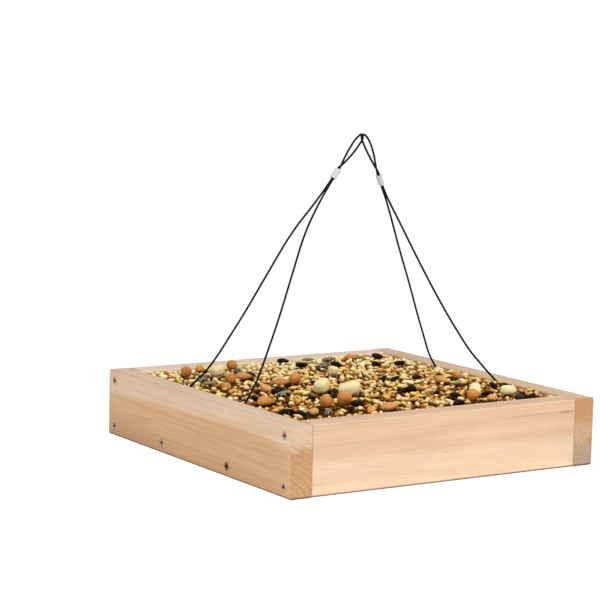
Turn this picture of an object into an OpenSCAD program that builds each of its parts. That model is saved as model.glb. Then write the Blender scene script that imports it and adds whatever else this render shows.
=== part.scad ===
// Platform bird feeder: a square cedar tray on two cords, filled with mixed seed.
// Millimetres. The origin is under the middle of the tray, +Z is up, and the front faces -Y.

/* [Tray boards] */
// Outside width and depth of the square tray
tray_w = 332; // [260:2:420]
// Height of the four boards
board_h = 63.5; // [55:0.5:90]
// Thickness of the four boards
board_t = 22; // [18:0.5:28]
// Radius of the eased long edges
edge_r = 1.5; // [0.5:0.1:3]
// Radius of the right board's outer lower edge, which is more worn
worn_r = 3; // [1.5:0.1:5]

/* [Cross braces] */
// Height of a cross brace
brace_h = 19; // [16:0.5:24]
// Width of a cross brace
brace_w = 38; // [25:1:60]
// From the middle of the tray to the middle of each brace
brace_y = 60; // [45:1:80]

/* [Screws] */
// Diameter of the shank
screw_d = 4; // [3:0.1:5]
// Diameter of the countersunk head
head_d = 8; // [7:0.1:9]
// Length from the face of the head to the tip
screw_l = 45; // [38:1:60]
// Depth of the cross recess in the head
recess_depth = 1.6; // [1:0.1:2]
// From a board's top or bottom edge to the screws in the corners
screw_edge = 9.5; // [8:0.5:14]
// Room round a shank in its hole
screw_room = 0.1; // [0.05:0.05:0.3]

/* [Seed tray] */
// Thickness of the sheet metal
sheet_t = 1; // [0.6:0.1:1.5]
// Height of the turned-up rim, from the underside
rim_h = 6; // [4:0.5:10]
// Inside radius of the fold
fold_r = 1; // [0.5:0.1:2]
// Room between the rim and the boards
rim_room = 0.5; // [0.2:0.1:1]
// Diameter of a drain hole
drain_d = 3; // [2:0.5:5]
// Drain holes along X
drain_columns = 12; // [6:1:12]
// Drain holes along Y
drain_rows = 10; // [6:1:10]

/* [Seed] */
// From the rim down to the seed along the boards
seed_drop = 2.5; // [2.5:0.5:12]
// Height of the heap above its own edge
seed_crown = 2; // [0:0.5:8]
// Height of the bumps that the small grains make
grain_h = 1.4; // [0.5:0.1:1.5]
// Usual diameter of a hazelnut
hazelnut_d = 13; // [10:0.5:16]
// Usual length of half a peanut
peanut_l = 22; // [14:0.5:24]
// Usual width of half a peanut
peanut_w = 13; // [8:0.5:15]
// Usual length of an almond
almond_l = 18; // [14:0.5:22]
// Usual width of an almond
almond_w = 10.5; // [8:0.5:13]

/* [Cords] */
// Diameter of the coated steel cord
cord_d = 2; // [1.5:0.1:2.2]
// Room round the cord in its holes
cord_room = 0.2; // [0.1:0.05:0.4]
// From the middle of the tray to each cord hole, along the board
anchor_y = 50; // [30:1:80]
// From the rim down to the mouth of a cord hole
anchor_drop = 3; // [2.5:0.5:8]
// How far a cord hole reaches into the board
anchor_run = 10; // [6:0.5:12]

/* [Ferrules] */
// Length of a crimped sleeve
ferrule_l = 10; // [8:0.5:14]
// Wall of the sleeve outside the cord's bore
ferrule_wall = 1.3; // [0.6:0.1:1.5]
// Distance between the two strands in the sleeve
strand_gap = 2.2; // [2.2:0.1:3]

/* [Hidden] */
$fn = 48;

cedar = [0.87, 0.69, 0.50];
cedar_dark = [0.80, 0.60, 0.41];
zinc = [0.70, 0.70, 0.70];
alloy = [0.80, 0.81, 0.82];
cord_black = [0.06, 0.06, 0.06];
seed_tan = [0.76, 0.62, 0.36];

half_w = tray_w / 2;
inner_half = half_w - board_t;
brace_len = 2 * inner_half;
over = 1;

// The end boards and the braces are held by screws through the side boards.
corner_y = half_w - board_t / 2;
corner_z = [screw_edge, board_h - screw_edge];
brace_z = brace_h / 2;
head_h = (head_d - screw_d) / 2;
tip_h = screw_d;
recess_w = screw_d * 0.3;
recess_l = head_d * 0.6;

// The seed tray lies on the braces and the seed lies in the tray.
sheet_half = inner_half - rim_room;
fold_outer = fold_r + sheet_t;
drain_margin = 20;
seed_floor = brace_h + sheet_t;
seed_room = 0.2;
seed_foot_half = sheet_half - fold_outer - seed_room;
seed_top_half = inner_half - seed_room;
seed_edge_z = board_h - seed_drop;
seed_cells = 64;
seed_pitch = 2 * seed_top_half / seed_cells;
mouth_dip = 4.5;
mouth_reach = 10;

// Grain bumps, the same on every build.
grain_noise = rands(-1, 1, (seed_cells + 1) * (seed_cells + 1), 41);

// Nuts in the top of the heap: x, y, the turn of each one's length from +X, and its size as a share
// of the usual one. The places are those in a tray that is 288 inside, and they spread with it.
nut_spread = inner_half / 144;
hazelnuts = [
    [-90, -103, 0, 0.95], [-71, -104, 0, 1.05], [-50, 12, 0, 0.9], [-104, 40, 0, 0.85],
    [-60, 112, 0, 0.8], [-120, 96, 0, 0.85], [54, -129, 0, 0.9],
];
peanuts = [
    [-50, -35, 40, 1], [-36, -60, -33, 1], [-92, 84, 15, 0.75],
    [10, 38, 70, 0.7], [72, -108, 50, 0.85], [100, -122, -33, 0.7],
];
almonds = [
    [-64, 15, -33, 1], [-94, -10, -60, 0.9], [-127, -61, 15, 1.1], [-116, -124, 35, 0.8],
    [-41, -131, -20, 1], [73, -134, 10, 0.8], [88, 122, -35, 0.8], [-118, 24, 75, 0.9],
    [-78, 60, -25, 1], [-90, 122, 50, 0.85], [116, -22, 80, 0.9], [84, -40, -70, 0.9],
];

// Each nut is an ellipsoid: x, y, turn, half length, half width, half height and its height above
// the small seed. A hazelnut and a peanut lie on the seed, and an almond is sunk in it a little.
function nut(place, l, w, h, up) =
    let (size = place[3]) [place[0], place[1], place[2], size * l / 2, size * w / 2, size * h / 2, size * up];
nuts = concat(
    [for (n = hazelnuts) nut(n, hazelnut_d, hazelnut_d, hazelnut_d, hazelnut_d)],
    [for (n = peanuts) nut(n, peanut_l, peanut_w, peanut_w, peanut_w)],
    [for (n = almonds) nut(n, almond_l, almond_w, almond_w * 0.9, almond_w * 0.7)]
);

// Each cord runs from the front hole up through its ferrule, round its eye and back down to the
// rear hole. The points are the middle of the cord.
left_route = [
    [-154, -50, 50.5], [-144, -50, 60.5], [-136, -47.5, 69], [-129, -45, 77.5],
    [-121, -42, 90], [-111, -38, 108], [-97, -33, 136], [-80, -26.5, 173],
    [-62, -19.5, 210.5], [-45, -13.5, 235], [-26.8, -9.1, 257.8], [-18.7, -9.1, 269.2],
    [-13, -8.8, 279.3], [-7, -8.2, 288], [-1, -7.3, 295], [3.5, -6.9, 298.7],
    [6.3, -6.8, 300], [8, -6.8, 298.3], [7.4, -6.8, 295], [4.5, -6.8, 291],
    [-1, -6.8, 284.3], [-8, -6.9, 277.5], [-14, -6.9, 272.5], [-18.7, -6.9, 269.2],
    [-26.8, -6.9, 257.8], [-39, -3.5, 240], [-59, 7, 209], [-78, 17, 172],
    [-96, 26, 136], [-111, 33.5, 108], [-121, 38.5, 90], [-129, 43, 77.5],
    [-136, 47, 69], [-144, 50, 60.5], [-154, 50, 50.5],
];
right_route = [
    [154, -50, 50.5], [144, -50, 60.5], [140, -49, 65], [134, -47, 71.5],
    [127, -44, 80], [117, -40.5, 92], [104, -35.5, 112], [87, -29, 141],
    [66, -21.5, 180], [47, -15, 217], [36, -11, 238.5], [30.7, -9.1, 250.6],
    [25.3, -9.1, 263.4], [19, -9.1, 272.5], [13, -9.1, 281.5], [8.5, -9.2, 289],
    [5.8, -9.2, 294.5], [4.8, -9.2, 298], [6.5, -9.2, 300], [9.3, -9.2, 299],
    [12.5, -9, 295.8], [16.5, -8.5, 289.5], [20, -7.8, 281.5], [22.5, -7.2, 273.5],
    [24.3, -6.9, 267], [25.3, -6.9, 263.4], [30.7, -6.9, 250.6], [41, -2, 234],
    [64, 10, 192], [87, 21.5, 151], [104, 30, 119], [117, 37, 97],
    [128, 43.5, 79.5], [136, 47.5, 69.5], [144, 50, 60.5], [154, 50, 50.5],
];
// The two points of each route between which the front strand passes through the ferrule.
left_sleeve = [left_route[10], left_route[11]];
right_sleeve = [right_route[11], right_route[12]];
cord_sides = 8;

function unit(v) = v / norm(v);
function tangent(pts, i) = unit(pts[min(i + 1, len(pts) - 1)] - pts[max(i - 1, 0)]);

// One ring of points round the cord, square to its direction. No cord runs along Y.
function cord_ring(pts, i) =
    let (along = tangent(pts, i), out = unit(cross(along, [0, 1, 0])), side = cross(along, out))
    [for (k = [0:cord_sides - 1]) let (a = 360 * k / cord_sides)
        pts[i] + (cos(a) * out + sin(a) * side) * cord_d / 2];

function ring_quad(i, k, n) = [i * n + k, (i + 1) * n + k, (i + 1) * n + (k + 1) % n, i * n + (k + 1) % n];

module cord(pts) {
    n = cord_sides;
    last = len(pts) - 1;
    polyhedron(
        points = [for (i = [0:last]) each cord_ring(pts, i)],
        faces = concat(
            [[for (k = [0:n - 1]) k]],
            [for (i = [0:last - 1]) for (k = [0:n - 1]) ring_quad(i, k, n)],
            [[for (k = [n - 1:-1:0]) last * n + k]]
        )
    );
}

// Section of a board: a rectangle with eased corners, its lower left corner at the origin. That
// corner has a radius of its own.
module board_section(w, h, outer_r) {
    difference() {
        union() {
            translate([edge_r, 0]) square([w - 2 * edge_r, h]);
            translate([0, edge_r]) square([w, h - 2 * edge_r]);
            for (x = [edge_r, w - edge_r]) for (y = [edge_r, h - edge_r])
                translate([x, y]) circle(edge_r);
        }
        if (outer_r > edge_r) difference() {
            translate([-over, -over]) square(outer_r + over);
            translate([outer_r, outer_r]) circle(outer_r);
        }
    }
}

// A board laid along Y, standing on its lower edge, its outer face towards -X.
module board_along_y(w, h, length, outer_r = edge_r) {
    translate([0, length / 2, 0]) rotate([90, 0, 0]) linear_extrude(length) board_section(w, h, outer_r);
}

// Screws point along +X, with the face of the head at the origin.
module screw() {
    difference() {
        rotate([0, 90, 0]) rotate_extrude() polygon([
            [0, 0], [head_d / 2, 0], [screw_d / 2, head_h],
            [screw_d / 2, screw_l - tip_h], [0, screw_l],
        ]);
        for (turn = [0, 90]) rotate([turn, 0, 0])
            translate([-over, -recess_l / 2, -recess_w / 2])
                cube([recess_depth + over, recess_l, recess_w]);
    }
}

module screw_hole(reach) {
    r = screw_d / 2 + screw_room;
    rotate([0, 90, 0]) {
        translate([0, 0, -over]) cylinder(r = r, h = reach + over);
        // The countersink is flush with the head.
        cylinder(r1 = head_d / 2 + screw_room, r2 = r, h = head_h);
    }
}

module at_corner_screws() {
    for (y = [-corner_y, corner_y]) for (z = corner_z) translate([-half_w, y, z]) children();
}

module at_brace_screws() {
    for (y = [-brace_y, brace_y]) translate([-half_w, y, brace_z]) children();
}

module both_sides() {
    children();
    mirror([1, 0, 0]) children();
}

// A cord hole slopes down into the board at 45 degrees from its inner face.
module cord_hole(y) {
    translate([-inner_half, y, board_h - anchor_drop]) rotate([0, -135, 0])
        translate([0, 0, -2 * cord_d])
            cylinder(d = cord_d + 2 * cord_room, h = 2 * cord_d + anchor_run * sqrt(2));
}

module side_board(outer_r) {
    difference() {
        translate([-half_w, 0, 0]) board_along_y(board_t, board_h, tray_w, outer_r);
        at_corner_screws() screw_hole(screw_l);
        at_brace_screws() screw_hole(screw_l);
        for (y = [-anchor_y, anchor_y]) cord_hole(y);
    }
}

module end_board(side) {
    difference() {
        translate([0, side * corner_y, 0]) rotate([0, 0, 90])
            translate([-board_t / 2, 0, 0]) board_along_y(board_t, board_h, 2 * inner_half);
        both_sides() at_corner_screws() screw_hole(screw_l + screw_room);
    }
}

module cross_brace(side) {
    difference() {
        translate([0, side * brace_y, 0]) rotate([0, 0, 90])
            translate([-brace_w / 2, 0, 0]) board_along_y(brace_w, brace_h, brace_len);
        both_sides() at_brace_screws() screw_hole(screw_l + screw_room);
    }
}

module side_board_left() color(cedar) side_board(edge_r);
module side_board_right() color(cedar) mirror([1, 0, 0]) side_board(worn_r);
module end_board_front() color(cedar_dark) end_board(-1);
module end_board_back() color(cedar_dark) end_board(1);
module cross_brace_front() color(cedar) cross_brace(-1);
module cross_brace_back() color(cedar) cross_brace(1);
module corner_screws() color(zinc) both_sides() at_corner_screws() screw();
module brace_screws() color(zinc) both_sides() at_brace_screws() screw();

// The rim is folded up along each side, and the corners are notched so that the folds don't meet.
module rim_fold(length) {
    rotate([90, 0, 0]) translate([0, 0, -length / 2]) linear_extrude(length) {
        translate([0, fold_outer]) square([sheet_t, rim_h - fold_outer]);
        intersection() {
            square(fold_outer);
            difference() {
                translate([fold_outer, fold_outer]) circle(fold_outer);
                translate([fold_outer, fold_outer]) circle(fold_r);
            }
        }
    }
}

module drain_holes() {
    span = 2 * (sheet_half - drain_margin);
    for (i = [0:drain_columns - 1]) for (j = [0:drain_rows - 1])
        translate([(i / (drain_columns - 1) - 0.5) * span, (j / (drain_rows - 1) - 0.5) * span])
            circle(d = drain_d);
}

module seed_tray() color(alloy) translate([0, 0, brace_h]) {
    flat = 2 * (sheet_half - fold_outer);
    linear_extrude(sheet_t) difference() {
        square(flat, center = true);
        drain_holes();
    }
    for (turn = [0:90:270]) rotate([0, 0, turn]) translate([-sheet_half, 0, 0]) rim_fold(flat);
}

// Height of the heap at grid point i, j. Its edge is level, except that it dips at the mouths of the
// cord holes, so that the cords come out clear of the seed.
function grid_at(i) = -seed_top_half + i * seed_pitch;
function on_edge(i) = i == 0 || i == seed_cells;
function dip_at(x, y) =
    mouth_dip * max(0, 1 - norm([abs(x) - inner_half, abs(y) - anchor_y]) / mouth_reach);
function nut_top(n, x, y, z) =
    let (
        dx = x - n[0] * nut_spread, dy = y - n[1] * nut_spread,
        u = (dx * cos(n[2]) + dy * sin(n[2])) / n[3], v = (dy * cos(n[2]) - dx * sin(n[2])) / n[4],
        inside = 1 - u * u - v * v
    )
    inside > 0 ? z + n[6] - n[5] * (1 - sqrt(inside)) : z;
function crown_at(x, y) =
    let (u = x / seed_top_half, v = y / seed_top_half)
    seed_edge_z + seed_crown * (1 - pow(u, 4)) * (1 - pow(v, 4)) - dip_at(x, y);
function heap_z(i, j) =
    let (x = grid_at(i), y = grid_at(j), base = crown_at(x, y))
    on_edge(i) || on_edge(j) ? base :
    max(base + grain_h * grain_noise[i * (seed_cells + 1) + j], max([for (n = nuts) nut_top(n, x, y, base)]));

module seed_mix() color(seed_tan) {
    n = seed_cells;
    row = n + 1;
    foot = row * row;
    polyhedron(
        points = concat(
            [for (i = [0:n]) for (j = [0:n]) [grid_at(i), grid_at(j), heap_z(i, j)]],
            [for (c = [[-1, -1], [1, -1], [1, 1], [-1, 1]])
                [c[0] * seed_foot_half, c[1] * seed_foot_half, seed_floor]]
        ),
        faces = concat(
            // The top, in triangles whose diagonals alternate.
            [for (i = [0:n - 1]) for (j = [0:n - 1])
                let (a = i * row + j, b = a + row, c = b + 1, d = a + 1)
                each (i + j) % 2 == 0 ? [[a, c, b], [a, d, c]] : [[a, d, b], [b, d, c]]],
            // The sides fan out from the four corners of the foot.
            [for (i = [0:n - 1]) [foot, i * row, (i + 1) * row]], [[foot, n * row, foot + 1]],
            [for (j = [0:n - 1]) [foot + 1, n * row + j, n * row + j + 1]],
            [[foot + 1, n * row + n, foot + 2]],
            [for (i = [n:-1:1]) [foot + 2, i * row + n, (i - 1) * row + n]], [[foot + 2, n, foot + 3]],
            [for (j = [n:-1:1]) [foot + 3, j, j - 1]], [[foot + 3, 0, foot]],
            [[foot, foot + 1, foot + 2], [foot, foot + 2, foot + 3]]
        )
    );
}

module hanger_cord_left() color(cord_black) cord(left_route);
module hanger_cord_right() color(cord_black) cord(right_route);

module both_strands() {
    for (y = [-1, 1]) translate([0, y * strand_gap / 2]) children();
}

// A sleeve along Z, pressed round two strands that lie side by side along Y.
module ferrule() {
    bore_r = (cord_d + cord_room) / 2;
    linear_extrude(ferrule_l, center = true) difference() {
        both_strands() circle(bore_r + ferrule_wall);
        both_strands() circle(bore_r);
        // The bores are open to each other where the strands lie closest.
        square([cord_d / 2, strand_gap], center = true);
    }
}

// Places the sleeve on the two strands: the front one passes through the given two points.
module ferrule_on(ends) {
    middle = (ends[0] + ends[1]) / 2;
    run = ends[1] - ends[0];
    translate(middle + [0, strand_gap / 2, 0]) rotate([0, atan2(run[0], run[2]), 0]) ferrule();
}

module ferrule_left() color(alloy) ferrule_on(left_sleeve);
module ferrule_right() color(alloy) ferrule_on(right_sleeve);

side_board_left();
side_board_right();
end_board_front();
end_board_back();
cross_brace_front();
cross_brace_back();
corner_screws();
brace_screws();
seed_tray();
seed_mix();
hanger_cord_left();
hanger_cord_right();
ferrule_left();
ferrule_right();
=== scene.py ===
import math
import random

import bmesh
import bpy
import numpy as np
from mathutils import Euler, Matrix, Vector


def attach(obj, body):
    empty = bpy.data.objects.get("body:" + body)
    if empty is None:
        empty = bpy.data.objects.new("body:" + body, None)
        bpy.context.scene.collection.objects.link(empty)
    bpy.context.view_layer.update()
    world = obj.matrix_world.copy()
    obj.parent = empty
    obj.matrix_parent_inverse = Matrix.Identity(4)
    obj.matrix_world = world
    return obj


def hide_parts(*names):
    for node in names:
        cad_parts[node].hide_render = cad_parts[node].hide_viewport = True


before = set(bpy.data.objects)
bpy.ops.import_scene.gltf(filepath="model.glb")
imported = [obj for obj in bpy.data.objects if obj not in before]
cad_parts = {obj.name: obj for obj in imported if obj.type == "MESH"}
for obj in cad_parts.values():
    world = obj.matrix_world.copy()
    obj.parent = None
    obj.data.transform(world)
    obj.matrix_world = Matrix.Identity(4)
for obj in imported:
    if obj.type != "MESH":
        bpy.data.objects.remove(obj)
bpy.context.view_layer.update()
mm = 0.001

# Camera. A long lens a little above the rim, looking at the corner where the front board meets
# the left one. Place, turn and lens were fitted to the photograph's frame of 600 x 600 pixels.
camera_place = Vector((-1.1062, -1.6401, 0.3961))
camera_yaw = math.radians(32.69)
camera_pitch = math.radians(7.32)
camera_roll = math.radians(1.26)
camera = bpy.data.objects.new("camera", bpy.data.cameras.new("camera"))
bpy.context.scene.collection.objects.link(camera)
camera.data.sensor_width = 36
camera.data.lens = 126.3
camera.matrix_world = (
    Matrix.Translation(camera_place)
    @ Matrix.Rotation(-camera_yaw, 4, "Z")
    @ Matrix.Rotation(math.radians(90) - camera_pitch, 4, "X")
    @ Matrix.Rotation(camera_roll, 4, "Z")
)
bpy.context.scene.camera = camera

# Side boards. Two planed and sanded cedar boards that run the whole depth of the tray, so their
# end grain shows at the front. The left one has a pale band of sapwood along its top edge.
outer_half = 166 * mm
inner_half = 144 * mm
board_high = 63.5 * mm


def add(tree, kind, inputs=None, **settings):
    """Adds a shader node. Each input is a value or the socket that feeds it."""
    new = tree.nodes.new("ShaderNode" + kind)
    for key, value in settings.items():
        setattr(new, key, value)
    for key, value in (inputs or {}).items():
        if isinstance(value, bpy.types.NodeSocket):
            tree.links.new(value, new.inputs[key])
        else:
            new.inputs[key].default_value = value
    return new


def blend(tree, share, under, over, way="MIX"):
    """Lays one colour over another by a share from 0 to 1, and gives the result's socket."""
    new = add(tree, "Mix", data_type="RGBA", blend_type=way)
    for key, value in ((0, share), (6, under), (7, over)):
        if isinstance(value, bpy.types.NodeSocket):
            tree.links.new(value, new.inputs[key])
        else:
            new.inputs[key].default_value = value if key == 0 else (*value, 1)
    return new.outputs[2]


def between(tree, value, low, high, to_low=0.0, to_high=1.0):
    """Turns a value's range from low to high into another, softly and held at both ends."""
    limits = {"Value": value, 1: low, 2: high, 3: to_low, 4: to_high}
    return add(tree, "MapRange", limits, interpolation_type="SMOOTHSTEP").outputs[0]


def ramp(tree, share, stops):
    """A colour ramp from a list of (position, colour)."""
    new = add(tree, "ValToRGB", {0: share})
    for _ in stops[2:]:
        new.color_ramp.elements.new(0.5)
    for element, (position, colour) in zip(new.color_ramp.elements, stops):
        element.position = position
        element.color = (*colour, 1)
    return new.outputs[0]


def mottle(tree, share, colour, pattern, dark, light):
    """Multiplies a colour by tones that follow a pattern. Dark and light are ramp stops."""
    return blend(tree, share, colour, ramp(tree, pattern, [dark, light]), "MULTIPLY")


def maths(tree, kind, *values):
    """One step of arithmetic on sockets or numbers."""
    return add(tree, "Math", dict(enumerate(values)), operation=kind).outputs[0]


def noise(tree, place, scale, detail=3.0, rough=0.5):
    """Soft noise about 0.5, with its scale in features per metre."""
    settings = {"Vector": place, "Scale": scale, "Detail": detail, "Roughness": rough}
    return add(tree, "TexNoise", settings).outputs[0]


def plain(name, rough, metal=0.0):
    """A new material, its node tree and its shader."""
    material = bpy.data.materials.new(name)
    material.use_nodes = True
    shader = material.node_tree.nodes["Principled BSDF"]
    shader.inputs["Roughness"].default_value = rough
    shader.inputs["Metallic"].default_value = metal
    return material, material.node_tree, shader


def cedar(name, along, pith, ring, wander, lines, heart, late, sap, sap_side, border, end_zones, marks=()):
    """Cedar sawn from a log whose pith runs along one axis, so that the rings show on every face.

    lines is how strongly the rings show, from 0 to 1. sap_side is 1 where the sapwood is the board's
    upper part and -1 where it is the lower part. border is the height of its edge at the board's
    middle, its rise per metre and its bend. end_zones are the end grain's colours from the lower
    edge to the upper one. marks are dark streaks, each a middle, half sizes, a turn and a strength.
    """
    material, tree, shader = plain(name, 0.72)
    coords = add(tree, "TexCoord").outputs
    place, normal = coords["Object"], coords["Normal"]

    def drawn_out(share, middle=(0, 0, 0)):
        """Coordinates about a middle, in which a pattern is drawn out along the grain."""
        scale = [share if axis == along else 1.0 for axis in "XYZ"]
        shift = [-part for part in middle]
        return add(tree, "Mapping", {"Vector": place, "Location": shift, "Scale": scale}).outputs[0]

    # The log's rings. A wave texture of scale 1 has a ring every 0.314 m.
    ring_at_scale_1 = 0.314
    log = drawn_out(0.08, pith)
    rings = add(
        tree, "TexWave",
        {
            "Vector": log, "Scale": ring_at_scale_1 / ring, "Distortion": 3, "Detail": 3, "Detail Scale": 0.8,
            "Phase Offset": maths(tree, "MULTIPLY", noise(tree, log, 17, 2), wander),
        },
        wave_type="RINGS", rings_direction=along, wave_profile="SAW",
    ).outputs["Fac"]
    fibres = drawn_out(0.03)
    streaks = noise(tree, fibres, 1300, 4, 0.6)
    bands = noise(tree, fibres, 120, 4, 0.55)

    # The border of the sapwood follows the board, frayed along the grain.
    parts = add(tree, "SeparateXYZ", {0: place}).outputs
    run = parts["XYZ".index(along)]
    level, rise, bend = border
    curve = maths(tree, "MULTIPLY_ADD", run, -bend, -rise)
    above = maths(tree, "MULTIPLY_ADD", run, curve, parts[2])
    waves, fray, fade_half = 7 * mm, 11 * mm, 5 * mm
    above = maths(tree, "MULTIPLY_ADD", noise(tree, log, 30, 2), waves, above)
    above = maths(tree, "MULTIPLY_ADD", bands, fray, above)
    edge = level + (waves + fray) / 2
    sapwood = between(tree, above, edge - sap_side * fade_half, edge + sap_side * fade_half)
    wood = blend(tree, sapwood, heart, sap)
    line = ramp(tree, rings, [(0.0, (0, 0, 0)), (0.5, (0.1,) * 3), (0.88, (1, 1, 1)), (0.97, (0.2,) * 3)])
    fade = between(tree, noise(tree, log, 38, 2), 0.36, 0.62, 0.1 * lines, lines)
    strength = maths(tree, "MULTIPLY", fade, between(tree, sapwood, 0, 1, 1.0, 0.35))
    wood = blend(tree, blend(tree, strength, (0, 0, 0), line), wood, late)
    wood = mottle(tree, 0.5, wood, bands, (0.3, (0.84, 0.82, 0.80)), (0.7, (1.10, 1.10, 1.09)))
    wood = mottle(tree, 0.4, wood, streaks, (0.3, (0.84, 0.82, 0.80)), (0.65, (1.08,) * 3))
    cloud = noise(tree, drawn_out(0.22), 55, 4, 0.6)
    wood = mottle(tree, 0.6, wood, cloud, (0.3, (0.88, 0.85, 0.81)), (0.7, (1.08, 1.09, 1.10)))

    # End grain is open-pored and torn in patches, with the curved marks of the saw.
    lengthwise = [1.0 if axis == along else 0.0 for axis in "XYZ"]
    facing = add(tree, "VectorMath", {0: normal, 1: lengthwise}, operation="DOT_PRODUCT").outputs["Value"]
    end = between(tree, maths(tree, "ABSOLUTE", facing), 0.7, 0.9)
    centre = add(tree, "Mapping", {"Vector": place, "Location": (0.13, 0.13, 0.06)}).outputs[0]
    saw = add(
        tree, "TexWave",
        {"Vector": centre, "Scale": 95, "Distortion": 5.0, "Detail": 3, "Detail Scale": 1.2},
        wave_type="RINGS", rings_direction=along,
    ).outputs["Fac"]
    pores = noise(tree, place, 1100, 3, 0.65)
    blur = 14 * mm
    height = maths(tree, "MULTIPLY_ADD", noise(tree, place, 60, 3), blur, parts[2])
    cut = ramp(tree, between(tree, height, blur / 2, board_high + blur / 2), end_zones)
    rough_part = between(tree, sapwood, 0, 1, 0.5, 0.15)
    cut = blend(tree, blend(tree, rough_part, (0, 0, 0), line), cut, (0.44, 0.20, 0.08))
    sawn_part = between(tree, noise(tree, place, 48, 2), 0.42, 0.58, 0.05, 0.4)
    cut = mottle(tree, sawn_part, cut, saw, (0.2, (0.80, 0.78, 0.76)), (0.8, (1.10,) * 3))
    torn = between(tree, noise(tree, place, 75, 2), 0.4, 0.6, 0.2, 0.75)
    cut = mottle(tree, torn, cut, pores, (0.38, (0.70, 0.64, 0.58)), (0.62, (1.18, 1.17, 1.15)))
    wood = blend(tree, end, wood, cut)

    # Each mark is an ellipsoid with a frayed edge, which fades out where it meets clean wood.
    for middle, halves, turn, strength in marks:
        spot = {"Vector": place, "Location": middle, "Rotation": turn, "Scale": halves}
        spot = add(tree, "Mapping", spot, vector_type="TEXTURE").outputs[0]
        far = add(tree, "VectorMath", {0: spot}, operation="LENGTH").outputs["Value"]
        far = maths(tree, "MULTIPLY_ADD", noise(tree, log, 260, 2), 0.5, far)
        wood = blend(tree, between(tree, far, 0.5, 1.2, strength, 0.0), wood, (0.44, 0.19, 0.09))

    # A thin dark line shows at the butt joints, and painted shadow darkens the lowest 2 mm of each board.
    sideways = maths(tree, "ABSOLUTE", parts[0])
    from_joint = maths(tree, "ABSOLUTE", maths(tree, "SUBTRACT", sideways, inner_half))
    outwards = maths(tree, "ABSOLUTE", parts[1])
    in_joint = maths(tree, "GREATER_THAN", outwards, inner_half - 0.1 * mm)
    seam = maths(tree, "MULTIPLY", between(tree, from_joint, 0.1 * mm, 0.7 * mm, 0.5, 0.0), in_joint)
    wood = blend(tree, seam, wood, (0.26, 0.14, 0.07))
    # Painted contact shadow along the lower edges, where the boards stand on the floor.
    wood = blend(tree, between(tree, parts[2], 0.8 * mm, 2.2 * mm, 0.9, 0.0), wood, (0.12, 0.06, 0.03))

    # The upward faces are painted a little darker, as shade.
    up = add(tree, "VectorMath", {0: normal, 1: (0, 0, 1)}, operation="DOT_PRODUCT").outputs["Value"]
    wood = blend(tree, between(tree, up, 0.5, 0.9), wood, (0.78, 0.78, 0.79), "MULTIPLY")
    relief = maths(tree, "MULTIPLY_ADD", streaks, 0.6, rings)
    bump = add(tree, "Bump", {"Height": relief, "Strength": 0.2, "Distance": 0.12 * mm})
    tree.links.new(bump.outputs[0], shader.inputs["Normal"])
    tree.links.new(wood, shader.inputs["Base Color"])
    return material


def give_finish(node_name, material):
    """Puts a finish on a piece that is shown as it comes in the frame."""
    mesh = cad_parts[node_name].data
    mesh.materials.clear()
    mesh.materials.append(material)


give_finish("side_board_left", cedar(
    "left_board_cedar", "Y", (-0.180, 0, -0.020), 5.5 * mm, 34.0, 0.6,
    heart=(0.75, 0.46, 0.25), late=(0.60, 0.35, 0.18), sap=(0.83, 0.60, 0.42),
    sap_side=1, border=(0.0476, -0.021, -0.196),
    end_zones=[
        (0.0, (0.64, 0.37, 0.19)), (0.66, (0.62, 0.34, 0.165)),
        (0.78, (0.73, 0.51, 0.335)), (1.0, (0.76, 0.54, 0.36)),
    ],
    marks=[
        ((-outer_half, 0.085, 0.0275), (1.0, 0.050, 0.0011), (-0.066, 0, 0), 0.3),
        ((-outer_half, -0.020, 0.0290), (1.0, 0.052, 0.0011), (0.087, 0, 0), 0.3),
        ((-outer_half, -0.105, 0.0230), (1.0, 0.058, 0.0009), (0.05, 0, 0), 0.25),
        ((-outer_half, 0.040, 0.0150), (1.0, 0.080, 0.0008), (0.02, 0, 0), 0.2),
    ],
))
give_finish("side_board_right", cedar(
    "right_board_cedar", "Y", (0.120, 0, 0.110), 4.0 * mm, 30.0, 0.6,
    heart=(0.77, 0.55, 0.35), late=(0.65, 0.43, 0.26), sap=(0.80, 0.58, 0.40),
    sap_side=-1, border=(0.040, -0.02, 0.0),
    end_zones=[
        (0.0, (0.49, 0.35, 0.235)), (0.28, (0.55, 0.385, 0.255)), (0.36, (0.66, 0.42, 0.275)),
        (0.62, (0.64, 0.39, 0.245)), (0.72, (0.60, 0.33, 0.16)), (1.0, (0.60, 0.32, 0.155)),
    ],
    marks=[((0.1635, -outer_half, 0.0235), (0.004, 1.0, 0.005), (0, 0, 0), 0.6)],
))

# End boards. Two shorter boards, butted between the side boards. The front one has straight close
# grain and a paler lower half, and the back one is the palest of the four.
brown_ends = [(0.0, (0.55, 0.34, 0.20)), (1.0, (0.62, 0.40, 0.24))]
give_finish("end_board_front", cedar(
    "front_board_cedar", "X", (0, -0.140, -0.120), 3.6 * mm, 30.0, 0.6,
    heart=(0.82, 0.55, 0.362), late=(0.74, 0.48, 0.305), sap=(0.885, 0.65, 0.455),
    sap_side=-1, border=(0.029, -0.02, 0.0), end_zones=brown_ends,
    marks=[
        ((0.096, -outer_half, 0.0523), (0.052, 1.0, 0.0008), (0, 0, 0), 0.45),
        ((0.134, -outer_half, 0.0524), (0.016, 1.0, 0.0018), (0, 0, 0), 0.65),
        ((-0.003, -outer_half, 0.0268), (0.006, 1.0, 0.0012), (0, -0.2, 0), 0.3),
    ],
))
give_finish("end_board_back", cedar(
    "back_board_cedar", "X", (0, 0.190, -0.060), 3.6 * mm, 30.0, 0.7,
    heart=(0.83, 0.59, 0.41), late=(0.72, 0.48, 0.32), sap=(0.94, 0.75, 0.57),
    sap_side=1, border=(0.038, 0.02, 0.1), end_zones=brown_ends,
))

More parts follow.
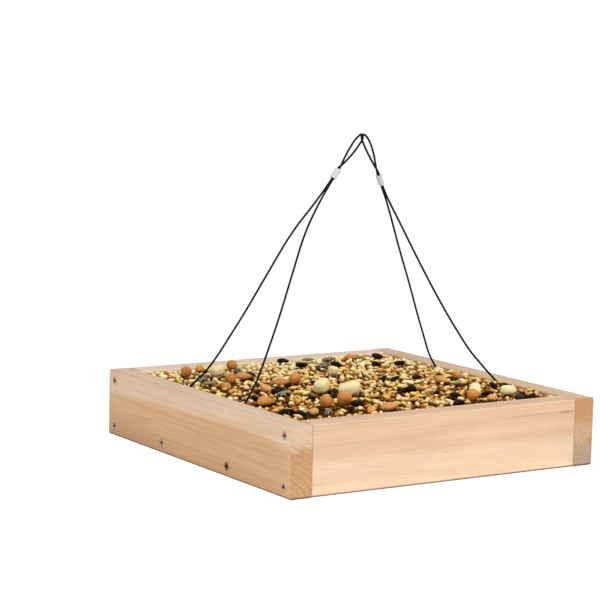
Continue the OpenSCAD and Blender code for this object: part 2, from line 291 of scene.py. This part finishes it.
# Cross braces. Two cedar battens, a little browner than the boards, which lie across the underside
# and carry the seed tray. A screw through each side board holds each end.
for end in ("front", "back"):
    give_finish("cross_brace_" + end, cedar(
        end + "_brace_cedar", "X", (0, 0.02, -0.05), 3.6 * mm, 30.0, 0.8,
        heart=(0.72, 0.44, 0.25), late=(0.60, 0.35, 0.19), sap=(0.80, 0.57, 0.38),
        sap_side=1, border=(0.012, -0.03, 0.0), end_zones=brown_ends,
    ))

# Screws. Zinc-plated countersunk screws with a cross recess, flush with the side boards. The recess
# is painted dark as shade. The one that holds the front brace in the left board has rusted brown.
material, tree, shader = plain("zinc_plate", 0.65, 0.15)
place = add(tree, "TexCoord").outputs["Object"]
parts = add(tree, "SeparateXYZ", {0: place}).outputs
out = maths(tree, "ABSOLUTE", parts[0])
zinc = ramp(tree, noise(tree, place, 900, 3), [(0.3, (0.40, 0.26, 0.17)), (0.7, (0.66, 0.46, 0.33))])
corner_y, brace_y = 155 * mm, 60 * mm
low_screw, high_screw = 9.5 * mm, 54 * mm
rust_place = (-outer_half, -brace_y, low_screw)
far = add(tree, "VectorMath", {0: place, 1: rust_place}, operation="DISTANCE").outputs["Value"]
zinc = blend(tree, between(tree, far, 4 * mm, 7 * mm, 0.9, 0.0), zinc, (0.22, 0.10, 0.045))
aside = maths(tree, "ABSOLUTE", parts[1])
folded = add(tree, "CombineXYZ", {1: aside, 2: parts[2]}).outputs[0]
# Painted shade darkens each screw's cross recess round its middle.
for y, z in ((corner_y, low_screw), (corner_y, high_screw), (brace_y, low_screw)):
    far = add(tree, "VectorMath", {0: folded, 1: (0, y, z)}, operation="DISTANCE").outputs["Value"]
    zinc = blend(tree, between(tree, far, 0.9 * mm, 1.9 * mm, 0.9, 0.0), zinc, (0.045, 0.018, 0.008))
# Painted shade: below the face of the boards the recess is near black.
at_face = between(tree, out, outer_half - 0.8 * mm, outer_half - 0.05 * mm)
zinc = blend(tree, at_face, (0.01, 0.008, 0.007), zinc)
tree.links.new(zinc, shader.inputs["Base Color"])
give_finish("corner_screws", material)
give_finish("brace_screws", material)

# Seed tray. A drop-in pan of perforated sheet metal with a folded rim, bare and brushed. It rests
# on the two braces and holds the seed.
material, tree, shader = plain("tray_sheet", 0.38, 1.0)
place = add(tree, "TexCoord").outputs["Object"]
brushed = add(tree, "Mapping", {"Vector": place, "Scale": (0.02, 1, 1)}).outputs[0]
lines = noise(tree, brushed, 2500, 3)
sheet = ramp(tree, lines, [(0.3, (0.58, 0.59, 0.60)), (0.7, (0.74, 0.75, 0.76))])
tree.links.new(sheet, shader.inputs["Base Color"])
tree.links.new(between(tree, lines, 0.3, 0.7, 0.3, 0.5), shader.inputs["Roughness"])
give_finish("seed_tray", material)

# Seed bed. The lower layers of the mix, one closed body from the tray's floor to a few millimetres
# under the surface, dark as painted shade between the seeds. The seeds above it lie on each other.
bed_half = 143.8 * mm
foot_half = 139.5 * mm
tray_floor = 20 * mm
edge_height = 63.9 * mm
crown = 1.6 * mm
bed_depth = 6 * mm
mouth_y = 50 * mm
mouth_dip = 5 * mm
mouth_reach = 9 * mm
bed_cells = 48


def heap_height(x, y):
    """The level that the tops of most seeds reach. It dips round the mouths of the four cord holes."""
    u, v = x / bed_half, y / bed_half
    from_mouth = ((abs(x) - inner_half) ** 2 + (abs(y) - mouth_y) ** 2) ** 0.5
    dip = mouth_dip * np.clip(1 - from_mouth / mouth_reach, 0, 1)
    return edge_height + crown * (1 - u**4) * (1 - v**4) - dip


def place_in_scene(bm, name, material):
    """Writes a bmesh to a new object."""
    mesh = bpy.data.meshes.new(name)
    bm.to_mesh(mesh)
    bm.free()
    mesh.shade_smooth()
    mesh.materials.append(material)
    item = bpy.data.objects.new(name, mesh)
    bpy.context.scene.collection.objects.link(item)
    return item


# Its dark browns are painted shade: the seeds beneath the top layer, in shadow.
material, tree, shader = plain("deep_seed_painted_shade", 0.9)
shader.inputs["Specular IOR Level"].default_value = 0
place = add(tree, "TexCoord").outputs["Object"]
cells = add(tree, "TexVoronoi", {"Vector": place, "Scale": 260})
tones = ramp(tree, add(tree, "SeparateColor", {0: cells.outputs["Color"]}).outputs[0], [
    (0.0, (0.11, 0.045, 0.014)), (0.5, (0.24, 0.11, 0.04)), (1.0, (0.38, 0.22, 0.09)),
])
deep = blend(tree, between(tree, cells.outputs["Distance"], 0.2, 0.7), tones, (0.06, 0.022, 0.006))
tree.links.new(deep, shader.inputs["Base Color"])
bm = bmesh.new()
bmesh.ops.create_grid(bm, x_segments=bed_cells, y_segments=bed_cells, size=bed_half)
for vert in bm.verts:
    vert.co.z = heap_height(vert.co.x, vert.co.y) - bed_depth
rim = [edge for edge in bm.edges if edge.is_boundary]
skirt = bmesh.ops.extrude_edge_only(bm, edges=rim)["geom"]
foot = [item for item in skirt if isinstance(item, bmesh.types.BMVert)]
bmesh.ops.scale(bm, vec=(foot_half / bed_half, foot_half / bed_half, 0), verts=foot)
bmesh.ops.translate(bm, vec=(0, 0, tray_floor), verts=foot)
bmesh.ops.holes_fill(bm, edges=[edge for edge in bm.edges if edge.is_boundary], sides=0)
bmesh.ops.recalc_face_normals(bm, faces=bm.faces)
bed = place_in_scene(bm, "seed_bed", material)
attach(bed, "root")
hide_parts("seed_mix")

# Seeds and nuts. They are laid one by one on a map of heights. The nuts and the large seeds come
# first, at the top of the heap, and the small ones then fill in round them, each as low as those
# under it let it.
random.seed(7)
cell = 0.5 * mm
map_side = round(2 * inner_half / cell)
spots = (np.arange(map_side) + 0.5) * cell - inner_half
level_heap = heap_height(*np.meshgrid(spots, spots, indexing="ij"))
heights = level_heap - bed_depth
darkest_depth = 4 * mm
all_seeds = []


def unit_seed(sides, rings, point=0.0, blunt=0.0, rugged=0.0, full=2.0):
    """A seed of radius 1, long along X, drawn to a point at +X, blunt at -X and more or less rugged.

    Above 2, full swells it towards the corners of the box it fills.
    """
    bm = bmesh.new()
    bmesh.ops.create_uvsphere(bm, u_segments=sides, v_segments=rings, radius=1)
    bmesh.ops.rotate(bm, verts=bm.verts, matrix=Matrix.Rotation(math.radians(90), 3, "Y"))
    for vert in bm.verts:
        vert.co /= sum(abs(part) ** full for part in vert.co) ** (1 / full)
        x = vert.co.x
        narrow = 1 - point * max(x, 0) ** 1.5 + blunt * max(-x, 0) ** 2
        vert.co.y *= narrow
        vert.co.z *= narrow
        vert.co *= 1 + random.uniform(-rugged, rugged)
    corners = np.array([vert.co[:] for vert in bm.verts])
    faces = [[vert.index for vert in face.verts] for face in bm.faces]
    bm.free()
    return corners, faces


class Stance:
    """One way that a seed of given half sizes can lie: its turn and the heights of its two sides."""

    def __init__(self, half, tilt, yaw=None):
        yaw = random.uniform(0, 2 * math.pi) if yaw is None else math.radians(yaw)
        turn = Euler((random.gauss(0, tilt), random.gauss(0, tilt), yaw))
        self.turn = np.array(turn.to_matrix())
        self.half = np.array(half)
        form = self.turn @ np.diag(1 / self.half**2) @ self.turn.T
        spread = self.turn @ np.diag(self.half**2) @ self.turn.T
        self.reach = np.sqrt(np.diag(spread))
        self.cells = int(max(self.reach[:2]) / cell) + 1
        steps = np.arange(-self.cells, self.cells + 1) * cell
        x, y = np.meshgrid(steps, steps, indexing="ij")
        lean = form[0, 2] * x + form[1, 2] * y
        rest = form[0, 0] * x * x + 2 * form[0, 1] * x * y + form[1, 1] * y * y - 1
        inside = lean * lean - form[2, 2] * rest
        root = np.sqrt(np.maximum(inside, 0))
        self.covers = inside > 0
        self.under = np.where(self.covers, (-lean - root) / form[2, 2], np.inf)
        self.over = np.where(self.covers, (-lean + root) / form[2, 2], -np.inf)

    def window(self, x, y):
        """The part of the map round a place, and the same part of the seed's own grid."""
        i, j = int((x + inner_half) / cell), int((y + inner_half) / cell)
        n = self.cells
        low_i, low_j = max(i - n, 0), max(j - n, 0)
        rows = slice(low_i, min(i + n + 1, map_side))
        columns = slice(low_j, min(j + n + 1, map_side))
        own = (
            slice(low_i - i + n, low_i - i + n + rows.stop - rows.start),
            slice(low_j - j + n, low_j - j + n + columns.stop - columns.start),
        )
        return (rows, columns), own

    def rest_height(self, x, y):
        """The height of its middle at which it just touches what lies under it."""
        here, own = self.window(x, y)
        return float((heights[here] - self.under[own]).max())

    def lay(self, x, y, z):
        """Raises the map to the seed's upper side."""
        here, own = self.window(x, y)
        heights[here] = np.maximum(heights[here], z + self.over[own])


def seeds_mesh(name, shape, laid, material):
    """One mesh of many copies of a shape. Each keeps its tint, and its own coordinates.

    Depth says how far each vertex lies under the tops of the seeds round it, and sets the painted
    shade of the seed coats. It counts for less towards the back, where the low camera hardly sees
    into the gaps.
    """
    corners, faces = shape
    points = np.concatenate([(corners * s.half) @ s.turn.T + where for s, where, _ in laid])
    shift = len(corners)
    mesh = bpy.data.meshes.new(name)
    copies = [[i + n * shift for i in face] for n in range(len(laid)) for face in faces]
    mesh.from_pydata(points, [], copies)
    tint = mesh.attributes.new("tint", "FLOAT", "POINT")
    tint.data.foreach_set("value", np.repeat([t for _, _, t in laid], shift))
    depth = mesh.attributes.new("depth", "FLOAT", "POINT")
    i, j = (np.clip((points[:, n] + inner_half) / cell, 0, map_side - 1).astype(int) for n in (0, 1))
    weight = 0.96 - 0.6 * np.clip(points[:, 1] / inner_half, 0, 1) ** 1.5
    below = weight * (tops[i, j] - points[:, 2]) / darkest_depth
    depth.data.foreach_set("value", np.clip(below, 0, 1))
    own = mesh.attributes.new("own", "FLOAT_VECTOR", "POINT")
    own.data.foreach_set("vector", np.tile(corners, (len(laid), 1)).ravel())
    mesh.shade_smooth()
    mesh.materials.append(material)
    piece = bpy.data.objects.new(name, mesh)
    bpy.context.scene.collection.objects.link(piece)
    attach(piece, "root")


def seed_skin(
    name, stops, rough=0.5, speckle=0.35, ends=0.25, stripes=0.0, stripe_colour=None, shine=0.12
):
    """A seed's coat: its colour by its tint, darker ends, fine speckles and, on some, long stripes."""
    material, tree, shader = plain(name, rough)
    tint = add(tree, "Attribute", attribute_name="tint").outputs["Fac"]
    own = add(tree, "Attribute", attribute_name="own").outputs["Vector"]
    coat = ramp(tree, tint, stops)
    along = add(tree, "SeparateXYZ", {0: own}).outputs
    tip = maths(tree, "ABSOLUTE", along[0])
    coat = blend(tree, between(tree, tip, 0.55, 1.0, 0.0, ends), coat, (0.10, 0.055, 0.03))
    if stripes:
        spread = maths(tree, "MULTIPLY", along[1], stripes)
        wave = maths(tree, "SINE", spread)
        coat = blend(tree, between(tree, wave, 0.35, 0.85), coat, stripe_colour)
    grain = noise(tree, add(tree, "TexCoord").outputs["Object"], 900, 3, 0.6)
    coat = mottle(tree, speckle, coat, grain, (0.35, (0.6, 0.55, 0.5)), (0.65, (1.15,) * 3))
    # Painted shade and bounce light: deeper in the heap, seeds are warmed, darkened and lose their shine.
    deep = add(tree, "Attribute", attribute_name="depth").outputs["Fac"]
    tree.links.new(between(tree, deep, 0.0, 0.5, shine, 0.0), shader.inputs["Specular IOR Level"])
    coat = blend(tree, between(tree, deep, 0.06, 0.5), coat, (0.92, 0.65, 0.36), "MULTIPLY")
    coat = blend(tree, between(tree, deep, 0.28, 0.88, 0.0, 0.92), coat, (0.13, 0.036, 0.005))
    tree.links.new(coat, shader.inputs["Base Color"])
    bump = add(tree, "Bump", {"Height": grain, "Strength": 0.5, "Distance": 0.3 * mm})
    tree.links.new(bump.outputs[0], shader.inputs["Normal"])
    return material


def set_on_heap(shape, name, material, half, places, proud, number=0, tilt=0.2, vary=0.08):
    """Lays large seeds at given places, and more of them at random.

    A place is an x, a y and a turn, and for a nut also its size as a share of the usual one.
    """
    laid = []
    places = [(x * mm, y * mm, yaw, *size) for x, y, yaw, *size in places]
    while len(places) < number:
        x, y = (random.uniform(-0.95, 0.95) * inner_half for _ in range(2))
        places.append((x, y, random.uniform(0, 360)))
    for x, y, yaw, *size in places:
        size = size[0] if size else random.gauss(1, vary)
        stance = Stance([h * size for h in half], tilt, yaw)
        room = inner_half - stance.reach - 0.3 * mm
        x = min(max(x, -room[0]), room[0])
        y = min(max(y, -room[1]), room[1])
        z = heap_height(x, y) - stance.reach[2] + proud * size * random.uniform(0.9, 1.1)
        stance.lay(x, y, z)
        laid.append((stance, np.array((x, y, z)), random.random()))
    all_seeds.append((name, shape, laid, material))


# Hazelnuts. Whole and shelled, in their orange-brown skins, about 13 mm across. They lie on top of
# the small seed, sunk in it by about 2 mm.
set_on_heap(
    unit_seed(20, 12, 0.18), "hazelnuts",
    seed_skin("hazelnut_skin", [(0.0, (0.52, 0.18, 0.035)), (1.0, (0.70, 0.30, 0.07))], 0.4, 0.4, 0.3),
    (6.7 * mm, 6.5 * mm, 6.4 * mm),
    [
        (-90, -103, 20, 0.95), (-71, -104, 250, 1.05), (-50, 12, 110, 0.9), (-104, 40, 0, 0.85),
        (-60, 112, 200, 0.8), (-120, 96, 70, 0.85), (54, -129, 310, 0.9),
    ],
    proud=11.0 * mm,
)

# Peanuts. Blanched halves, cream, up to 22 mm long and full at the corners. They lie on top of the
# small seed like the hazelnuts.
set_on_heap(
    unit_seed(20, 12, 0.15, 0.1, 0.02, 3.0), "peanut_halves",
    seed_skin("peanut_flesh", [(0.0, (0.90, 0.76, 0.38)), (1.0, (0.98, 0.88, 0.54))], 0.5, 0.3, 0.15),
    (11 * mm, 6.5 * mm, 6.5 * mm),
    [
        (-50, -35, 40, 1), (-36, -60, -33, 1), (-92, 84, 15, 0.75),
        (10, 38, 70, 0.7), (72, -108, 50, 0.85), (100, -122, -33, 0.7),
    ],
    proud=11.0 * mm,
)

# Almonds. Whole ones in rough orange-brown skins, about 18 mm long and pointed at one end. They
# lie sunk in the small seed by about 4 mm.
set_on_heap(
    unit_seed(16, 10, 0.6), "almonds",
    seed_skin(
        "almond_skin", [(0.0, (0.62, 0.28, 0.08)), (1.0, (0.82, 0.46, 0.16))], 0.6, 0.45, 0.2,
        stripes=22.0, stripe_colour=(0.56, 0.26, 0.08),
    ),
    (9 * mm, 5.3 * mm, 4.7 * mm),
    [
        (-64, 15, -33, 1), (-94, -10, -60, 0.9), (-127, -61, 15, 1.1), (-116, -124, 35, 0.8),
        (-41, -131, -20, 1), (73, -134, 10, 0.8), (88, 122, -35, 0.8), (-118, 24, 75, 0.9),
        (-78, 60, -25, 1), (-90, 122, 50, 0.85), (116, -22, 80, 0.9), (84, -40, -70, 0.9),
    ],
    proud=5.5 * mm,
)

# Sunflower seed. Black oil seed with a dull shine, and a few of the larger striped kind. Most lie
# at chosen places, and the rest fall at random.
set_on_heap(
    unit_seed(10, 8, 0.55, 0.1), "black_sunflower_seed",
    seed_skin(
        "black_hull",
        [(0.0, (0.010, 0.006, 0.003)), (0.8, (0.018, 0.013, 0.008)), (1.0, (0.05, 0.048, 0.036))],
        0.6, 0.2, 0.0, shine=0.05,
    ),
    (6.0 * mm, 3.0 * mm, 2.4 * mm),
    [
        (25, -61, -20), (17, -68, -40), (8, -76, 20), (40, -3, -30), (52, -8, 0), (-136, -107, 0),
        (-131, -112, 50), (-102, -111, 30), (-109, -117, -30), (-124, -127, 60), (-40, -43, 80),
        (-45, -52, 70), (-34, 0, -20), (-8, 23, 10), (14, 99, -20), (14, 68, 30), (-88, 16, 90),
        (-84, 8, 60), (-125, -38, 80), (12, 131, -25), (47, 87, -30), (118, 117, -10), (111, 68, -40),
        (74, -13, -20), (43, -88, 60), (48, -110, -50), (34, -137, 10), (27, -139, 40), (83, -112, -20),
        (125, -84, 10), (117, -80, -30), (102, -139, 0), (108, -140, -10), (114, -138, 10),
        (-51, -98, 50), (-58, -104, -10), (-83, -19, -30), (-92, -25, -40), (-76, -123, 40),
    ],
    proud=3.0 * mm, number=46, tilt=0.35, vary=0.12,
)
set_on_heap(
    unit_seed(10, 8, 0.55, 0.1), "striped_sunflower_seed",
    seed_skin(
        "striped_hull", [(0.0, (0.04, 0.035, 0.03)), (1.0, (0.08, 0.07, 0.06))], 0.5, 0.2, 0.0,
        stripes=14.0, stripe_colour=(0.46, 0.42, 0.31),
    ),
    (7.0 * mm, 3.5 * mm, 2.6 * mm),
    [
        (-97, -41, 10), (-103, -126, 30), (58, 118, -40), (-66, 92, 100), (-120, 66, 10), (96, -76, 60),
        (30, 84, -30),
    ],
    proud=3.6 * mm, tilt=0.3,
)

# Pumpkin seed. Hulled, flat and green, with a darker edge. A few lie here and there, tilted, among
# the smaller seed.
set_on_heap(
    unit_seed(12, 8, 0.45), "pumpkin_seed",
    seed_skin("pumpkin_kernel", [(0.0, (0.16, 0.16, 0.05)), (1.0, (0.36, 0.35, 0.11))], 0.5, 0.3, 0.5),
    (7.0 * mm, 3.8 * mm, 1.5 * mm),
    [
        (-90, -30, -20), (98, 118, -40), (36, 122, 10), (-82, 108, 60), (-126, 40, -30), (92, -54, 45),
        (-70, -52, 10),
    ],
    proud=3.0 * mm, tilt=0.35,
)

# Small seed. Sorghum, oats, sunflower hearts and cracked maize, poured together and levelled. Each
# takes the lower of two places tried near the spot it falls on, and one that would stand too high
# is left out.
small_kinds = {
    # name: half sizes in mm, share, sides and rings, point, colours from dark to light, roughness
    "yellow_sorghum": (
        (2.3, 2.1, 1.9), 0.05, (7, 5), 0.1,
        [(0.72, 0.42, 0.09), (0.95, 0.72, 0.26), (1.0, 0.88, 0.46)], 0.5,
    ),
    "white_sorghum": (
        (2.4, 2.2, 2.0), 0.06, (7, 5), 0.1,
        [(0.92, 0.72, 0.34), (1.0, 0.90, 0.54), (1.0, 0.98, 0.76)], 0.5,
    ),
    "red_sorghum": (
        (2.5, 2.3, 2.1), 0.09, (7, 5), 0.1,
        [(0.20, 0.05, 0.012), (0.46, 0.16, 0.045), (0.82, 0.42, 0.14)], 0.5,
    ),
    "oats": (
        (5.7, 2.5, 2.0), 0.40, (8, 6), 0.4,
        [(0.68, 0.39, 0.10), (0.95, 0.74, 0.30), (1.0, 0.92, 0.52)], 0.6,
    ),
    "sunflower_hearts": (
        (6.2, 3.1, 2.3), 0.30, (8, 6), 0.5,
        [(0.92, 0.75, 0.34), (1.0, 0.93, 0.56), (1.0, 0.98, 0.78)], 0.5,
    ),
    "cracked_maize": (
        (4.6, 3.4, 2.0), 0.10, (6, 4), 0.3,
        [(0.78, 0.42, 0.09), (0.98, 0.74, 0.22), (1.0, 0.89, 0.40)], 0.6,
    ),
}
drops = 22000
tries = 2
size_spread = 0.18
steepness = 0.8
stances_of_a_kind = 60
stances = {
    name: [
        Stance([h * mm * random.gauss(1, size_spread) for h in kind[0]], steepness)
        for _ in range(stances_of_a_kind)
    ]
    for name, kind in small_kinds.items()
}
poured = {name: [] for name in small_kinds}
names = list(small_kinds)
shares = [small_kinds[name][1] for name in names]
for name in random.choices(names, shares, k=drops):
    stance = random.choice(stances[name])
    room = inner_half - stance.reach - 0.2 * mm
    x, y = random.uniform(-room[0], room[0]), random.uniform(-room[1], room[1])
    best = None
    for _ in range(tries):
        near_x = min(max(x + random.gauss(0, 3) * mm, -room[0]), room[0])
        near_y = min(max(y + random.gauss(0, 3) * mm, -room[1]), room[1])
        z = stance.rest_height(near_x, near_y)
        if best is None or z < best[2]:
            best = (near_x, near_y, z)
    x, y, z = best
    z -= 0.25 * stance.reach[2]
    if z + stance.reach[2] > heap_height(x, y) + random.uniform(-2.6, 1.4) * mm:
        continue
    stance.lay(x, y, z)
    # The seed is paler towards the back.
    tint = random.random() ** (1 - 0.85 * y / inner_half)
    poured[name].append((stance, np.array((x, y, z)), tint))
for name, (_, _, (sides, rings), point, colours, rough) in small_kinds.items():
    stops = list(zip((0.0, 0.5, 1.0), colours))
    shape = unit_seed(sides, rings, point, rugged=0.14)
    all_seeds.append((name, shape, poured[name], seed_skin(name + "_coat", stops, rough)))

# Depth counts from the highest seed within 3 mm. A nut counts only as high as the small seed reaches.
near = round(3 * mm / cell)
small_seed_rise = 1.5 * mm
tops = heights
for axis in (0, 1):
    tops = np.max([np.roll(tops, step, axis) for step in range(-near, near + 1)], axis=0)
tops = np.minimum(tops, level_heap + small_seed_rise)
for item in all_seeds:
    seeds_mesh(*item)

# Hanging cords. Two loops of black coated steel cord. Each starts in a hole in a side board's
# inner face, goes up through its sleeve, round an eye at the top and back to the board's other hole.
cord_thick = 2 * mm
left_route = [
    (-0.154, -0.050, 0.0505), (-0.144, -0.050, 0.0605), (-0.136, -0.0475, 0.069), (-0.129, -0.045, 0.0775),
    (-0.121, -0.042, 0.090), (-0.111, -0.038, 0.108), (-0.097, -0.033, 0.136), (-0.080, -0.0265, 0.173),
    (-0.062, -0.0195, 0.2105), (-0.045, -0.0135, 0.235), (-0.0268, -0.0091, 0.2578),
    (-0.0187, -0.0091, 0.2692), (-0.013, -0.0088, 0.2793), (-0.007, -0.0082, 0.288),
    (-0.001, -0.0073, 0.295), (0.0035, -0.0069, 0.2987), (0.0063, -0.0068, 0.300), (0.008, -0.0068, 0.2983),
    (0.0074, -0.0068, 0.295), (0.0045, -0.0068, 0.291), (-0.001, -0.0068, 0.2843),
    (-0.008, -0.0069, 0.2775), (-0.014, -0.0069, 0.2725), (-0.0187, -0.0069, 0.2692),
    (-0.0268, -0.0069, 0.2578), (-0.039, -0.0035, 0.240), (-0.059, 0.007, 0.209), (-0.078, 0.017, 0.172),
    (-0.096, 0.026, 0.136), (-0.111, 0.0335, 0.108), (-0.121, 0.0385, 0.090), (-0.129, 0.043, 0.0775),
    (-0.136, 0.047, 0.069), (-0.144, 0.050, 0.0605), (-0.154, 0.050, 0.0505),
]
right_route = [
    (0.154, -0.050, 0.0505), (0.144, -0.050, 0.0605), (0.140, -0.049, 0.065), (0.134, -0.047, 0.0715),
    (0.127, -0.044, 0.080), (0.117, -0.0405, 0.092), (0.104, -0.0355, 0.112), (0.087, -0.029, 0.141),
    (0.066, -0.0215, 0.180), (0.047, -0.015, 0.217), (0.036, -0.011, 0.2385), (0.0307, -0.0091, 0.2506),
    (0.0253, -0.0091, 0.2634), (0.019, -0.0091, 0.2725), (0.013, -0.0091, 0.2815), (0.0085, -0.0092, 0.289),
    (0.0058, -0.0092, 0.2945), (0.0048, -0.0092, 0.298), (0.0065, -0.0092, 0.300), (0.0093, -0.0092, 0.299),
    (0.0125, -0.009, 0.2958), (0.0165, -0.0085, 0.2895), (0.020, -0.0078, 0.2815),
    (0.0225, -0.0072, 0.2735), (0.0243, -0.0069, 0.267), (0.0253, -0.0069, 0.2634),
    (0.0307, -0.0069, 0.2506), (0.041, -0.002, 0.234), (0.064, 0.010, 0.192), (0.087, 0.0215, 0.151),
    (0.104, 0.030, 0.119), (0.117, 0.037, 0.097), (0.128, 0.0435, 0.0795), (0.136, 0.0475, 0.0695),
    (0.144, 0.050, 0.0605), (0.154, 0.050, 0.0505),
]
material, tree, shader = plain("cord_coat", 0.55)
shader.inputs["Specular IOR Level"].default_value = 0.07
grain = noise(tree, add(tree, "TexCoord").outputs["Object"], 700, 2)
coat = ramp(tree, grain, [(0.3, (0.003,) * 3), (0.7, (0.008,) * 3)])
tree.links.new(coat, shader.inputs["Base Color"])
for side, route, length in (("left", left_route, 0.612), ("right", right_route, 0.597)):
    line = bpy.data.curves.new(side + "_cord", "CURVE")
    line.dimensions = "3D"
    line.bevel_depth = cord_thick / 2
    line.bevel_resolution = 3
    line.resolution_u = 6
    line.use_fill_caps = True
    spline = line.splines.new("BEZIER")
    spline.bezier_points.add(len(route) - 1)
    for knot, point in zip(spline.bezier_points, route):
        knot.co = point
        knot.handle_left_type = knot.handle_right_type = "AUTO"
    line.materials.append(material)
    cord = bpy.data.objects.new(side + "_cord", line)
    bpy.context.scene.collection.objects.link(cord)
    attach(cord, "root")
    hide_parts("hanger_cord_" + side)

# Ferrules. Aluminium sleeves, one on each cord, pressed flat round both strands. They close the
# eyes at the top.
material, tree, shader = plain("sleeve_alloy", 0.35, 0.6)
place = add(tree, "TexCoord").outputs["Object"]
alloy = ramp(tree, noise(tree, place, 500, 3), [(0.3, (0.52, 0.53, 0.54)), (0.7, (0.76, 0.77, 0.78))])
tree.links.new(alloy, shader.inputs["Base Color"])
give_finish("ferrule_left", material)
give_finish("ferrule_right", material)

# Studio. A wide white floor that keeps a soft shadow, a white surround, one soft lamp high on the
# front right and a weaker, broader one on the left.
floor_half = 12
material, tree, shader = plain("studio_floor", 0.9)
shader.inputs["Base Color"].default_value = (0.95, 0.95, 0.95, 1)
to_camera = add(tree, "LightPath").outputs["Is Camera Ray"]
glow = add(tree, "Emission", {"Color": (1, 1, 1, 1), "Strength": 1.1}).outputs[0]
lift = maths(tree, "MULTIPLY", to_camera, 0.92)
both = add(tree, "MixShader", {0: lift, 1: shader.outputs[0], 2: glow})
tree.links.new(both.outputs[0], tree.nodes["Material Output"].inputs["Surface"])
bm = bmesh.new()
bmesh.ops.create_grid(bm, x_segments=1, y_segments=1, size=floor_half)
floor = place_in_scene(bm, "floor", material)

# The surround looks white, but it lights the tray with about a quarter of that.
world = bpy.data.worlds.new("studio")
bpy.context.scene.world = world
world.use_nodes = True
tree = world.node_tree
rays = add(tree, "LightPath").outputs
seen = maths(tree, "MAXIMUM", rays["Is Camera Ray"], rays["Is Glossy Ray"])
seen = maths(tree, "MAXIMUM", seen, rays["Is Transmission Ray"])
tree.links.new(between(tree, seen, 0, 1, 0.275, 1.0), tree.nodes["Background"].inputs["Strength"])
tree.nodes["Background"].inputs["Color"].default_value = (1, 1, 1, 1)


def lamp(name, place, target, size, watts):
    """A square soft lamp that points at a target."""
    light = bpy.data.lights.new(name, "AREA")
    light.size = size
    light.energy = watts
    item = bpy.data.objects.new(name, light)
    bpy.context.scene.collection.objects.link(item)
    item.location = place
    item.rotation_mode = "QUATERNION"
    item.rotation_quaternion = (Vector(target) - Vector(place)).to_track_quat("-Z", "Y")


lamp("key", (0.45, -0.9, 1.8), (0, 0, 0.05), 0.4, 28.6)
lamp("side", (-1.25, -0.6, 0.7), (0, 0, 0.05), 0.7, 7.6)
bpy.context.scene.view_settings.view_transform = "Standard"
